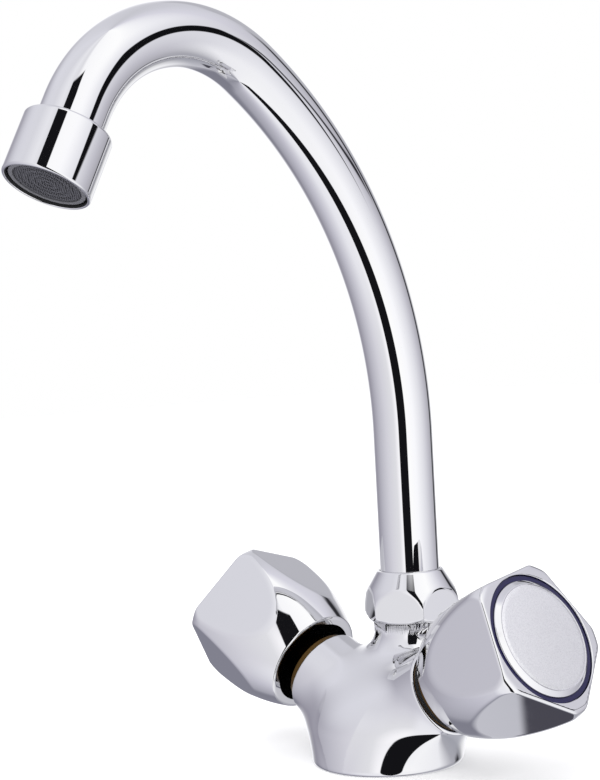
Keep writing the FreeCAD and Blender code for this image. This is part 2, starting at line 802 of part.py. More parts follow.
# ---------------------------------------------------------------- handle
RIM = FLANGE_TOP + " + handle_gap"
FRONT = RIM + " + handle_length"
WEB_LOW = RIM + " + web_station"
WEB_TOP = WEB_LOW + " + web_thickness"
RING_SEAT = FRONT + " - ring_depth"


def knob_form(prefix):
    """A half ellipsoid that is widest at the front, cut by the five flats of a prism: the prism's
    ends are the rear rim and the front face."""
    dome = solid(
        "Part::Ellipsoid", "knob_dome", Radius1="knob_dome_depth", Radius2="knob_radius",
        Radius3="knob_radius", Placement__Base__z=FRONT,
    )
    flats = solid(
        "Part::Prism", "knob_flats", Circumradius="knob_inradius / cos(36)",
        Height="handle_length", Placement__Base__z=RIM,
    )
    flats.Polygon = 5
    spin(flats, size(prefix + "handle_turn"))
    return combine("Part::MultiCommon", "knob", dome, flats)


def handle(side, prefix):
    """A cast knob, hollow behind, with a hub on the spindle's square end and a stepped well in
    front for the index ring and the cap."""
    cavity = turned("knob_cavity", (
        ("0", f"{RIM} - 1"),
        ("cavity_radius", f"{RIM} - 1"),
        ("cavity_radius", RIM),
        ("cavity_wide_radius", f"{RIM} + cavity_station"),
        ("cavity_wide_radius", WEB_LOW),
        ("hub_radius", WEB_LOW),
        ("hub_radius", f"{RIM} + hub_start"),
        ("0", f"{RIM} + hub_start"),
    ))
    socket = solid(
        "Part::Box", "socket", Length="drive_flats + 2 * running_fit",
        Width="drive_flats + 2 * running_fit", Height=f"{DRIVE_END} - ({RIM} + hub_start) + end_gap + 1",
        Placement__Base__x="-drive_flats / 2 - running_fit",
        Placement__Base__y="-drive_flats / 2 - running_fit", Placement__Base__z=f"{RIM} + hub_start - 1",
    )
    well = turned("knob_well", (
        ("0", WEB_TOP),
        ("cap_skirt_radius + end_gap", WEB_TOP),
        ("cap_skirt_radius + end_gap", RING_SEAT),
        ("ring_outer + end_gap", RING_SEAT),
        ("ring_outer + end_gap", f"{FRONT} + 2"),
        ("0", f"{FRONT} + 2"),
    ))
    screw_hole = solid(
        "Part::Cylinder", "screw_hole", Radius="screw_radius + running_fit",
        Height="web_station + web_thickness", Placement__Base__z=f"{RIM} + hub_start",
    )
    tools = combine("Part::MultiFuse", "knob_tools", cavity, socket, well, screw_hole)
    keep(on_arm(combine("Part::Cut", "knob_solid", knob_form(prefix), tools), side), prefix + "handle")


def handle_trim(side, prefix):
    """The coloured ring, the cap that snaps into the well, and the screw under it."""
    band = ring("index_band", "ring_inner", "ring_outer", RING_SEAT, f"{FRONT} - ring_sink")
    keep(on_arm(band, side), prefix + "index_ring")
    inner = "cap_skirt_radius - cap_skirt_wall"
    cap = turned("cap_form", (
        ("0", RING_SEAT),
        (inner, RING_SEAT),
        (inner, f"{WEB_TOP} + end_gap"),
        ("cap_skirt_radius", f"{WEB_TOP} + end_gap"),
        ("cap_skirt_radius", RING_SEAT),
        ("cap_radius", RING_SEAT),
        ("cap_radius", f"{FRONT} + cap_rise - cap_bevel"),
        ("cap_face_radius", f"{FRONT} + cap_rise"),
        ("0", f"{FRONT} + cap_rise + cap_crown"),
    ))
    keep(on_arm(cap, side), prefix + "index_cap")
    screw_form = turned("screw_form", (
        ("0", f"{DRIVE_END} - screw_length + end_gap"),
        ("screw_radius", f"{DRIVE_END} - screw_length + end_gap"),
        ("screw_radius", WEB_TOP),
        ("screw_head_radius", WEB_TOP),
        ("screw_head_radius", f"{WEB_TOP} + screw_head_height"),
        ("0", f"{WEB_TOP} + screw_head_height"),
    ))
    slot = solid(
        "Part::Box", "screw_slot", Length="2 * screw_head_radius + 2", Width="screw_slot_width",
        Height="screw_head_height", Placement__Base__x="-screw_head_radius - 1",
        Placement__Base__y="-screw_slot_width / 2",
        Placement__Base__z=f"{WEB_TOP} + screw_head_height / 2",
    )
    keep(on_arm(combine("Part::Cut", "screw", screw_form, slot), side), prefix + "handle_screw")


# ---------------------------------------------------------------- build
body_casting()
base_seal()
spout_nut()
slip_rings()
for side, prefix in ((-1, "hot_"), (1, "cold_")):
    valve_housing(side, prefix)
    valve_seals(side, prefix)
    ceramic_discs(side, prefix)
    spindle(side, prefix)
    spindle_stops(side, prefix)
    handle(side, prefix)
    handle_trim(side, prefix)
spout_tube()
spout_ferrule()
outlet_sleeve()
aerator_housing()
aerator_washer()
aerator_core()
aerator_screen()
document.recompute()

for item in document.Objects:
    if "Invalid" in item.State or "Error" in item.State:
        raise RuntimeError(f"{item.Name} did not build: {item.State}")
for node in nodes:
    if node.Shape.isNull() or not node.Shape.isValid() or not node.Shape.Solids:
        raise RuntimeError(f"{node.Label} has no valid solid")

os.makedirs("parts", exist_ok=True)
for node in nodes:
    node.Shape.exportStep(f"parts/{node.Label}.step")
    print(f"{node.Label:24s} {len(node.Shape.Solids)} solid(s) {node.Shape.Volume:12.1f} mm3")
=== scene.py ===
"""Two handle kitchen tap: smooth plated surfaces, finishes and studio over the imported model.

Working lengths inside the shape functions are millimetres in the row frame: the origin is the
centre of the foot on the deck, +Z is up and the spout reaches over -Y. The user's sizes are
properties in metres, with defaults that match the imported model.
"""

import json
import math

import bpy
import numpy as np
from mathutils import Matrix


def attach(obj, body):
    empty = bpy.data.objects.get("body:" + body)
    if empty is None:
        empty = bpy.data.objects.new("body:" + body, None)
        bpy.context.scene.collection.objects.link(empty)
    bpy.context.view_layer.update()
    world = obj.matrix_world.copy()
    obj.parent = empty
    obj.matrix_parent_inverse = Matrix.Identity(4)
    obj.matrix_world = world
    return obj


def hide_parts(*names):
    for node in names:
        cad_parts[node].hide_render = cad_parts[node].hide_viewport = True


bl_info = {
    "name": "Two Handle Kitchen Tap",
    "version": (1, 0, 0),
    "blender": (4, 5, 0),
    "location": "View3D > Sidebar > Tap",
    "description": "Builds the visible surfaces of a two handle kitchen tap",
    "category": "Add Mesh",
}

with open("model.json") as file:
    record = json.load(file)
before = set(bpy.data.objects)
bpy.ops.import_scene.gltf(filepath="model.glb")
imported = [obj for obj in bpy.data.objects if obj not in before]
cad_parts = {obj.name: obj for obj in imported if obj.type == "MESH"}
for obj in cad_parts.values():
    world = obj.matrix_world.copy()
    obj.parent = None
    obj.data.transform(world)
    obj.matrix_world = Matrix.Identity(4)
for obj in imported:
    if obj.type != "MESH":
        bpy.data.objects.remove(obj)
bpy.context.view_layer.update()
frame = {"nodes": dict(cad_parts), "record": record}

MM = 0.001
ARM_CROSS = np.array([0.0, 0.0, 12.0])      # where the two valve axes meet
SIDES = (("hot", -1), ("cold", 1))
RING_DEPTH = 3.3     # how deep the ring and the cap sit in a knob's face
ARC_ROWS = 7         # rows of points that a turned form spends on a rounded corner


# ---------------------------------------------------------------- properties
def length(name, description, millimetres):
    """A length the user may change."""
    return bpy.props.FloatProperty(
        name=name, description=description, default=millimetres * MM, min=0.0,
        unit="LENGTH", precision=5,
    )


def turn(name, description, degrees):
    """An angle the user may change."""
    return bpy.props.FloatProperty(
        name=name, description=description, default=math.radians(degrees), unit="ROTATION",
    )


def colour(name, description, code):
    """A colour the user may change; its default is an sRGB hex value."""
    return bpy.props.FloatVectorProperty(
        name=name, description=description, default=linear(code), size=3,
        min=0.0, max=1.0, subtype="COLOR",
    )


def linear(code):
    """An sRGB hex value as linear red, green and blue."""
    parts = [int(code[i:i + 2], 16) / 255 for i in (1, 3, 5)]
    return tuple(c / 12.92 if c <= 0.04045 else ((c + 0.055) / 1.055) ** 2.4 for c in parts)


class TapBodySizes(bpy.types.PropertyGroup):
    """Sizes of the cast body and of the nut on its neck."""
    foot_radius: length("Foot radius", "Radius of the round foot on the deck", 25.0)
    foot_side: length("Foot side", "Height of the foot's upright side", 11.0)
    foot_rounding: length("Foot rounding", "Reach of the rounding at the foot's lower edge", 2.0)
    neck_shift: length("Neck shift", "How far the neck stands behind the foot's centre", 15.0)
    neck_radius: length("Neck radius", "Radius of the neck under the nut", 12.8)
    neck_height: length("Neck height", "Height at which the neck turns straight", 43.0)
    neck_top: length("Neck top", "Height of the nut's lower face", 45.0)
    arm_radius: length("Arm radius", "Radius of each valve arm", 15.0)
    arm_length: length("Arm length", "From the crossing of the valve axes to an arm's end", 32.0)
    arm_tilt: turn("Arm tilt", "How far each valve axis rises from level", 27.0)
    nut_flats: length("Nut flats", "Width across the nut's flats", 29.0)
    nut_height: length("Nut height", "Height of the nut", 17.0)
    nut_turn: turn("Nut turn", "Turn of the nut about its own axis", 26.3)


class TapSpoutSizes(bpy.types.PropertyGroup):
    """Sizes of the swivel spout and its outlet."""
    tube_radius: length("Tube radius", "Outer radius of the drawn tube", 10.0)
    tube_wall: length("Tube wall", "Wall of the drawn tube", 1.0)
    tube_start: length("Tube start", "Height of the tube's lower end", 58.35)
    straight: length("Straight foot", "Straight length above the lower end", 49.35)
    rise_radius: length("Rise radius", "Radius of the wide bend", 145.0)
    rise_angle: turn("Rise angle", "Angle of the wide bend", 55.0)
    crown_radius: length("Crown radius", "Radius of the tight bend over the top", 45.4)
    crown_angle: turn("Crown angle", "Angle of the tight bend", 96.8)
    end: length("Straight end", "Straight length before the outlet", 14.75)
    outlet_radius: length("Outlet radius", "Outer radius of the outlet's housing", 13.3)
    outlet_length: length("Outlet length", "Length of the outlet's housing", 19.5)
    outlet_overlap: length("Outlet overlap", "How far the housing covers the tube", 8.0)


class TapKnobSizes(bpy.types.PropertyGroup):
    """Sizes of the two five-sided knobs. Stations run outwards along a valve's axis."""
    rim: length("Rim", "Station of the knob's rear rim", 38.0)
    front: length("Front", "Station of the knob's front face", 76.7)
    dome_radius: length("Dome radius", "Largest radius of the round form", 26.2)
    dome_depth: length("Dome depth", "Half length of the round form along the axis", 53.2)
    flats: length("Flats", "Distance of each flat from the axis", 21.8)
    front_rounding: length("Front rounding", "Reach of the rounding at the front edge", 1.1)
    hot_turn: turn("Hot turn", "Turn of the hot knob about its axis", -19.4)
    cold_turn: turn("Cold turn", "Turn of the cold knob about its axis", 8.6)


class TapFinishes(bpy.types.PropertyGroup):
    """Colours of the visible finishes."""
    plating: colour("Plating", "Bright nickel-chrome plating", "#E5E5E6")
    cap: colour("Cap face", "Frosted silver face of the index cap", "#FBFBFC")
    hot: colour("Hot ring", "Moulded ring on the hot knob", "#8E1A1E")
    cold: colour("Cold ring", "Moulded ring on the cold knob", "#130E45")
    # The brass default is darkened well below real brass: painted shade for the gap between arm
    # and knob, where the housing's flange sits in shadow.
    brass: colour("Brass", "Bare machined brass", "#5E4828")
    steel: colour("Steel", "Stainless wire and fasteners", "#7A7A7F")


def sizes():
    """The user's sizes, in the order body, spout, knob."""
    scene = bpy.context.scene
    return scene.tap_body, scene.tap_spout, scene.tap_knob


# ---------------------------------------------------------------- fields and surfaces
def smooth_max(first, second, width):
    """The larger of two fields: where they differ by less than the width, plus the square of
    what is missing over four widths, which rounds the edge between them."""
    overlap = np.maximum(width - np.abs(first - second), 0)
    return np.maximum(first, second) + overlap ** 2 / (4 * width)


def smooth_min(first, second, width):
    """The smaller of two fields, blended as in smooth_max: a fillet between two forms."""
    return -smooth_max(-first, -second, width)


def smooth_step(share):
    """3u^2 - 2u^3, held at 0 and 1 outside its span."""
    share = np.clip(share, 0, 1)
    return share * share * (3 - 2 * share)


def prism(points, sides, flats, turned):
    """Distance beyond the nearest flat of a prism round the third axis, one of whose corners
    points at the turned angle."""
    angle = np.arctan2(points[..., 1], points[..., 0]) - turned
    fold = angle % (2 * math.pi / sides) - math.pi / sides
    return np.hypot(points[..., 0], points[..., 1]) * np.cos(fold) - flats


def unit(vector):
    """The vector scaled to length one."""
    return vector / np.linalg.norm(vector)


def whole_turn(count):
    """Even angles round a whole turn."""
    return np.arange(count) * (2 * math.pi / count)


def slope(field, points, step=1e-4):
    """Unit normals of a field: its central differences, scaled to length one."""
    result = np.empty(points.shape)
    for axis in range(3):
        shift = np.zeros(3)
        shift[axis] = step
        result[..., axis] = field(points + shift) - field(points - shift)
    return result / np.maximum(np.linalg.norm(result, axis=-1, keepdims=True), 1e-12)


def cast(field, origins, directions, reach):
    """Where rays leave a solid, found by halving the span between inside and outside."""
    inside = np.zeros(directions.shape[:-1])
    outside = np.full(directions.shape[:-1], float(reach))
    for _ in range(40):
        middle = (inside + outside) / 2
        within = field(origins + directions * middle[..., None]) < 0
        inside = np.where(within, middle, inside)
        outside = np.where(within, outside, middle)
    return origins + directions * outside[..., None]


def cast_round(field, span, leans, rows, columns, reach):
    """A surface round the third axis, as points and normals. Its rays fan up to level at the
    span's lower station, stay level as far as its upper one and fan on from there. The leans
    are the fans' outer angles, in degrees; rows counts the rows of the lower fan, the level
    rays and the upper fan."""
    below, level, above = rows
    rises = np.radians(np.concatenate([
        np.linspace(leans[0], 0, below + 1)[:-1], np.zeros(level),
        np.linspace(0, leans[1], above + 1)[1:],
    ]))[:, None, None]
    stations = np.concatenate([
        np.full(below, span[0]), np.linspace(*span, level), np.full(above, span[1]),
    ])[:, None, None]
    angles = whole_turn(columns)
    across = np.stack([np.cos(angles), np.sin(angles), np.zeros(columns)], -1)
    up = np.array([0.0, 0.0, 1.0])
    directions = np.cos(rises) * across + np.sin(rises) * up
    points = cast(field, np.broadcast_to(stations * up, directions.shape), directions, reach)
    return points, slope(field, points)


def join(*surfaces):
    """One surface from several, row after row. Each is a pair of points and normals."""
    return [np.concatenate(grids) for grids in zip(*surfaces)]


def lay(points, normals, origin, basis):
    """Carries points and normals from a piece's own frame, whose axes are the basis rows."""
    return points @ basis + origin, normals @ basis


def valve_frame(side):
    """Origin and axes of a valve: its own third axis points out of the arm."""
    tilt = sizes()[0].arm_tilt
    rise, out = math.sin(tilt), side * math.cos(tilt)
    return ARM_CROSS, np.array([(rise, 0, -out), (0, 1, 0), (out, 0, rise)])


def add_object(name, data):
    """Puts a mesh, a light or a camera into the scene."""
    piece = bpy.data.objects.new(name, data)
    bpy.context.collection.objects.link(piece)
    return piece


def strip(lower, upper):
    """Quads between rows of vertex numbers and the rows above them, closed round each row."""
    quads = np.stack([lower, np.roll(lower, -1, 1), np.roll(upper, -1, 1), upper], -1)
    return quads.reshape(-1, 4)


def skin(name, points, normals, body, wrap=False, finishes=(), bands=()):
    """A closed mesh from a grid of rows of points, closed round each row. The rows end in
    poles unless they wrap. Each point keeps its own exact normal. The bands give the first row
    of each further finish."""
    rows, columns = points.shape[:2]
    if wrap:
        verts, norms = points.reshape(-1, 3), normals.reshape(-1, 3)
        index = np.arange(rows * columns).reshape(rows, columns)
        quads = strip(index, np.roll(index, -1, axis=0))
        fans = np.empty((0, 3), int)
        place = np.repeat(np.arange(rows), columns)
    else:
        verts, norms = (
            np.concatenate([grid[:1, 0], grid[1:-1].reshape(-1, 3), grid[-1:, 0]])
            for grid in (points, normals)
        )
        index = 1 + np.arange((rows - 2) * columns).reshape(rows - 2, columns)
        quads = strip(index[:-1], index[1:])
        after = np.roll(index, -1, axis=1)
        pole = np.zeros(columns, int)
        fans = np.concatenate([
            np.stack([pole, after[0], index[0]], -1),
            np.stack([pole + len(verts) - 1, index[-1], after[-1]], -1),
        ])
        place = np.repeat([*range(1, rows - 2), 0, rows - 2], columns)
    # Where the quads' sum of volumes is negative, the faces look inwards and are turned over.
    first, second, third, fourth = np.moveaxis(verts[quads], 1, 0)
    if np.sum(first * np.cross(third - first, fourth - second)) < 0:
        quads, fans = quads[:, ::-1], fans[:, ::-1]
    mesh = bpy.data.meshes.new(name)
    mesh.from_pydata((verts * MM).tolist(), [], quads.tolist() + fans.tolist())
    slots = np.zeros(len(place), np.int32)
    for number, row in enumerate(bands, start=1):
        slots[place >= row] = number
    mesh.polygons.foreach_set("material_index", slots)
    mesh.polygons.foreach_set("use_smooth", np.ones(len(place), bool))
    for finish in finishes:
        mesh.materials.append(finish)
    mesh.update()
    mesh.normals_split_custom_set_from_vertices(norms.tolist())
    piece = add_object(name, mesh)
    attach(piece, body)
    return piece


def rounded(corners):
    """An outline of straight sides with a true arc at each corner: a corner is (radius,
    station, rounding). Returns the points and their outward normals, both in the outline's
    plane. The outline runs with the solid on its left."""
    points, normals = [], []
    spots = np.array([corner[:2] for corner in corners], float)
    ways = [unit(there - here) for here, there in zip(spots[:-1], spots[1:])]
    for number, here in enumerate(spots):
        bend = corners[number][2]
        meeting = ways[max(number - 1, 0):number + 1]
        if len(meeting) == 1 or bend == 0:
            for way in meeting:
                points.append(here)
                normals.append((way[1], -way[0]))
            continue
        into, out = meeting
        angle = math.atan2(into[0] * out[1] - into[1] * out[0], into @ out)
        bend = math.copysign(bend, angle)
        centre = here - into * bend * math.tan(angle / 2) + bend * np.array((-into[1], into[0]))
        start = math.atan2(-into[0], into[1])
        for part in np.linspace(start, start + angle, ARC_ROWS):
            normal = np.array((math.cos(part), math.sin(part)))
            points.append(centre + bend * normal)
            normals.append(normal)
    return np.array(points), np.array(normals)


def lathe(corners, columns=128):
    """A turned form, as points and normals: the rounded outline carried round the third axis.
    Each outline point (r, t) becomes (r cos a, r sin a, t) for a whole turn of a."""
    angles = whole_turn(columns)
    turned = []
    for outline in rounded(corners):
        rows = np.empty((len(outline), columns, 3))
        rows[..., 0] = outline[:, :1] * np.cos(angles)
        rows[..., 1] = outline[:, :1] * np.sin(angles)
        rows[..., 2] = outline[:, 1:]
        turned.append(rows)
    return turned


# ---------------------------------------------------------------- nodes and finishes
TIMES = {"operation": "MULTIPLY"}
S_CURVE = {"interpolation_type": "SMOOTHSTEP"}


def add_node(tree, kind, settings=(), stops=(), **inputs):
    """Adds a node, sets its properties and a ramp's (place, colour) stops, and feeds its
    inputs, by name or as i and a number: a link, or a plain value."""
    node = tree.nodes.new(kind)
    for name, value in dict(settings).items():
        setattr(node, name, value)
    if stops:
        elements = node.color_ramp.elements
        while len(elements) < len(stops):
            elements.new(0.5)
        for element, (place, tone) in zip(elements, stops):
            element.position = place
            element.color = (*tone, 1)
    for name, value in inputs.items():
        key = int(name[1:]) if name[0] == "i" and name[1:].isdigit() else name.replace("_", " ")
        if isinstance(value, bpy.types.NodeSocket):
            tree.links.new(value, node.inputs[key])
        else:
            node.inputs[key].default_value = value
    return node


def new_finish(name):
    """A new material and its empty node tree, or the material that has the name already."""
    finish = bpy.data.materials.get(name)
    if finish:
        return finish, None
    finish = bpy.data.materials.new(name)
    finish.use_nodes = True
    finish.node_tree.nodes.clear()
    return finish, finish.node_tree


def end_finish(tree, **inputs):
    """Ends a material with a Principled shader, fed as told, and its output."""
    shader = add_node(tree, "ShaderNodeBsdfPrincipled", **inputs)
    add_node(tree, "ShaderNodeOutputMaterial", Surface=shader.outputs["BSDF"])


def bright_plating():
    """Polished nickel-chrome plating on brass: buffed, so a mirror with the faintest haze where
    it has been wiped."""
    finish, tree = new_finish("polished_chrome_plating")
    if tree is None:
        return finish
    place = add_node(tree, "ShaderNodeTexCoord").outputs["Object"]
    wipe = add_node(tree, "ShaderNodeTexNoise", Vector=place, Scale=90.0, Detail=3.0)
    haze = add_node(
        tree, "ShaderNodeMapRange", Value=wipe.outputs["Fac"],
        i1=0.35, i2=0.75, i3=0.012, i4=0.045,
    )
    tone = (*bpy.context.scene.tap_finish.plating, 1)
    end_finish(tree, Base_Color=tone, Metallic=1.0, Roughness=haze.outputs["Result"])
    return finish


def frosted_silver():
    """Satin plating over a blasted face: 0.25 mm grains, coarser than real grit so that they
    show, each tipped its own way, so the face glitters softly."""
    finish, tree = new_finish("blasted_satin_silver")
    if tree is None:
        return finish
    place = add_node(tree, "ShaderNodeTexCoord").outputs["Object"]
    grain = add_node(tree, "ShaderNodeTexVoronoi", Vector=place, Scale=1 / (0.25 * MM))
    shade = add_node(tree, "ShaderNodeSeparateColor", Color=grain.outputs["Color"]).outputs
    silver = tuple(bpy.context.scene.tap_finish.cap)
    dim = tuple(c * 0.9 for c in silver)
    tint = add_node(
        tree, "ShaderNodeValToRGB", Fac=shade["Red"],
        stops=((0.0, dim), (0.6, silver), (1.0, (1.0, 1.0, 1.0))),
    )
    rough = add_node(tree, "ShaderNodeMapRange", Value=shade["Green"], i3=0.35, i4=0.5)
    bump = add_node(
        tree, "ShaderNodeBump", Strength=0.22, Distance=0.05 * MM, Height=shade["Blue"],
    )
    end_finish(
        tree, Base_Color=tint.outputs["Color"], Metallic=1.0,
        Roughness=rough.outputs["Result"], Normal=bump.outputs["Normal"],
    )
    return finish


def moulded(name, code, roughness, metallic=0.0, mottle=0.06, grain_mm=0.8):
    """A moulded or machined part: its own colour with a slight mottle, and a fine skin."""
    finish, tree = new_finish(name)
    if tree is None:
        return finish
    tone = linear(code) if isinstance(code, str) else tuple(code)
    low = tuple(c * (1 - mottle) for c in tone)
    high = tuple(min(1.0, c * (1 + mottle)) for c in tone)
    place = add_node(tree, "ShaderNodeTexCoord").outputs["Object"]
    noise = add_node(
        tree, "ShaderNodeTexNoise", Vector=place, Scale=1 / (grain_mm * MM), Detail=2.0,
    ).outputs["Fac"]
    tint = add_node(tree, "ShaderNodeValToRGB", Fac=noise, stops=((0.3, low), (0.7, high)))
    bump = add_node(tree, "ShaderNodeBump", Strength=0.1, Distance=0.02 * MM, Height=noise)
    end_finish(
        tree, Base_Color=tint.outputs["Color"], Metallic=metallic, Roughness=roughness,
        Normal=bump.outputs["Normal"],
    )
    return finish


def machined(name, code, roughness):
    """A bare turned metal: its colour with faint tool lines, and no plating."""
    return moulded(name, code, roughness, metallic=1.0, mottle=0.1, grain_mm=0.4)


def painted_shade_inside(name):
    """Painted shade for the inside of a plated piece: a dull near black that stands for the little
    light that gets in.
    """
    return moulded(name, "#232325", 0.6)


def grey_acetal():
    """Moulded acetal: an even grey with a soft shine."""
    return moulded("moulded_acetal", "#66666B", 0.3)


def stainless_steel():
    """Drawn stainless steel: a metal shine, softer than the plating's."""
    return machined("stainless_wire", bpy.context.scene.tap_finish.steel, 0.3)


def glossy_ring(name):
    """The moulded ring of the hot or the cold knob: a deep colour under a soft gloss."""
    return moulded(f"glossy_moulded_{name}_ring", getattr(bpy.context.scene.tap_finish, name), 0.3)


# ---------------------------------------------------------------- cast body
NECK_LIP = 0.5           # how far the neck widens under the nut
NECK_FILLET = 6.0        # fillet between arm and trunk near the neck
FOOT_FILLET = 13.0       # and near the foot
FILLET_TOP = 34.0        # height above which the neck's fillet holds
FILLET_SPAN = 22.0       # height over which one passes to the other
ARM_START = 3.0          # an arm begins this far out, so it can't show on the far side
ARM_END_ROUNDING = 1.0
TRUNK_MIDDLE = np.array([0.0, 3.5, 2.0])     # from the axes' crossing to the trunk's middle
SWING_START, SWING_SPAN = 40, 100            # degrees over which the rings' axis swings


def trunk_field(points):
    """Distance to the trunk's side. Its middle line and radius follow one smooth step from the
    foot to the neck; the gap to the side is divided by the field's own slope."""
    size = sizes()[0]
    low, high = size.foot_side / MM, size.neck_height / MM
    foot, neck, shift = size.foot_radius / MM, size.neck_radius / MM, size.neck_shift / MM
    share = np.clip((points[..., 2] - low) / (high - low), 0, 1)
    step = smooth_step(share)
    rate = 6 * share * (1 - share) / (high - low)
    across = points[..., 1] - shift * step
    distance = np.hypot(points[..., 0], across)
    lip = NECK_LIP * smooth_step((points[..., 2] - high) / (size.neck_top / MM - high))
    side = distance - (foot + (neck - foot) * step + lip)
    upward = rate * ((foot - neck) - shift * across / np.maximum(distance, 1e-6))
    return side / np.sqrt(1 + upward ** 2)


def body_field(points):
    """The trunk blended with the two arms by wide fillets, then cut off at the deck, at the
    neck's top and at each arm's end with small roundings."""
    size = sizes()[0]
    tilt = size.arm_tilt
    solid = trunk_field(points)
    share = smooth_step((FILLET_TOP - points[..., 2]) / FILLET_SPAN)
    blend = NECK_FILLET + (FOOT_FILLET - NECK_FILLET) * share
    for _, side in SIDES:
        axis = np.array([side * math.cos(tilt), 0, math.sin(tilt)])
        offset = points - ARM_CROSS
        along = offset @ axis
        away = np.linalg.norm(offset - along[..., None] * axis, axis=-1)
        arm = smooth_max(
            away - size.arm_radius / MM, along - size.arm_length / MM, ARM_END_ROUNDING,
        )
        arm = np.maximum(arm, ARM_START - along)
        solid = smooth_min(solid, arm, blend)
    solid = smooth_max(solid, -points[..., 2], size.foot_rounding / MM)
    return np.maximum(solid, points[..., 2] - size.neck_top / MM)


def body_surface():
    """Rings about an axis that swings from one valve's axis to the other's: a ring at half
    angle A has the directions cos A along the axis plus sin A across it, and each direction is
    cast from the middle until it leaves the body."""
    size = sizes()[0]
    rim = math.degrees(math.atan2(size.arm_radius, size.arm_length))
    # Half angles in degrees, closest together where the rings pass an arm's rim.
    half = np.concatenate([
        np.linspace(0, rim - 3, 6)[:-1],
        np.linspace(rim - 3, rim + 3, 22)[:-1],
        np.linspace(rim + 3, 90, 84),
    ])
    half = np.concatenate([half, 180 - half[-2::-1]])
    swing = size.arm_tilt * np.cos(math.pi * np.clip((half - SWING_START) / SWING_SPAN, 0, 1))
    level, lift, none = np.cos(swing), np.sin(swing), np.zeros_like(swing)
    axis = np.stack([-level, none, lift], -1)[:, None, :]
    across = np.stack([lift, none, level], -1)[:, None, :]
    sideways = np.array([0.0, 1.0, 0.0])
    half = np.radians(half)[:, None, None]
    round_ = whole_turn(400)[:, None]
    directions = np.cos(half) * axis + np.sin(half) * (
        np.cos(round_) * across + np.sin(round_) * sideways
    )
    origins = np.broadcast_to(ARM_CROSS + np.sin(half) ** 4 * TRUNK_MIDDLE, directions.shape)
    points = cast(body_field, origins, directions, reach=60.0)
    return points, slope(body_field, points)


class TapBody(bpy.types.Operator):
    """Builds the cast body: foot, neck and both valve arms in one blended skin"""
    bl_idname = "tap.body"
    bl_label = "Cast body"

    def execute(self, context):
        piece = skin("cast_body_skin", *body_surface(), "tap_body", finishes=[bright_plating()])
        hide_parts("body_casting")
        return {"FINISHED"}


# ---------------------------------------------------------------- nut
def nut_surface():
    """A hexagon whose corners are turned off by a cone above and a chamfer below: the smooth
    maximum of six flats and the turned form, cast outwards from the nut's axis."""
    size = sizes()[0]
    flats, height = size.nut_flats / MM / 2, size.nut_height / MM
    corner = flats / math.cos(math.pi / 6)
    edge, foot_edge = 0.5, 0.35
    # The turned sides, each from (radius, height) to (radius, height).
    chamfer = ((13.8, 0.0), (corner, 1.8))
    shoulder = ((corner, 6.0), (15.7, 9.4))
    cone = ((15.7, 9.4), (11.05, height))

    def field(points):
        away = np.hypot(points[..., 0], points[..., 1])
        hexagon = prism(points, 6, flats, size.nut_turn)
        result = smooth_max(hexagon, -points[..., 2], foot_edge)
        for (r0, t0), (r1, t1) in (chamfer, shoulder, cone):
            side = (away - r0) * (t1 - t0) - (points[..., 2] - t0) * (r1 - r0)
            result = smooth_max(result, side / math.hypot(r1 - r0, t1 - t0), edge)
        return smooth_max(result, points[..., 2] - height, edge)

    columns = 480
    bore, bottom = 10.15, height - 4.0
    low, high = 2.5, height - 2.5
    top_lean = math.degrees(math.atan2(height - high, bore + 0.35))
    outer = cast_round(field, (low, high), (-74, top_lean), (25, 64, 13), columns, reach=40.0)
    closing = lathe((
        (bore + 0.1, height, 0), (bore, height - 0.15, 0.05), (bore, bottom, 0), (0, bottom, 0),
    ), columns)
    base = lathe(((0, 0.0, 0), (8.0, 0.0, 0)), columns)
    return join(base, outer, closing)


class TapNut(bpy.types.Operator):
    """Builds the hexagon nut that holds the spout on the neck"""
    bl_idname = "tap.nut"
    bl_label = "Spout nut"

    def execute(self, context):
        size = sizes()[0]
        origin = np.array([0.0, size.neck_shift / MM, size.neck_top / MM])
        surface = lay(*nut_surface(), origin, np.eye(3))
        piece = skin("spout_nut_skin", *surface, "tap_body", finishes=[bright_plating()])
        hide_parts("spout_nut")
        return {"FINISHED"}


# ---------------------------------------------------------------- spout
def run_move(heading, bend, part):
    """The way covered by part of a run that sets out at the heading: straight on, or round an
    arc whose heading turns by bend times the length."""
    if bend:
        turned = heading + bend * part
        along = (np.cos(turned) - math.cos(heading)) / bend
        upward = (np.sin(turned) - math.sin(heading)) / bend
    else:
        along, upward = -math.sin(heading) * part, math.cos(heading) * part
    return np.stack([np.zeros_like(along), along, upward], -1)


def spout_line(stations):
    """Points and headings along the tube's middle line, which lies in the plane x = 0: a
    straight foot, a wide bend, a tight bend and a straight end. On a bend of radius R the
    heading turns by length over R. The line's whole length comes last."""
    size = sizes()[1]
    rise, crown = size.rise_radius / MM, size.crown_radius / MM
    runs = (
        (size.straight / MM, 0.0), (rise * size.rise_angle, 1 / rise),
        (crown * size.crown_angle, 1 / crown), (size.end / MM, 0.0),
    )
    place = np.zeros((len(stations), 3))
    angle = np.zeros(len(stations))
    begin, heading = 0.0, 0.0
    corner = np.array([0.0, sizes()[0].neck_shift / MM, size.tube_start / MM])
    for extent, bend in runs:
        part = np.clip(stations - begin, 0, extent)
        here = stations >= begin - 1e-9
        place[here] = (corner + run_move(heading, bend, part))[here]
        angle[here] = (heading + bend * part)[here]
        corner = corner + run_move(heading, bend, extent)
        heading += bend * extent
        begin += extent
    return place, angle, begin


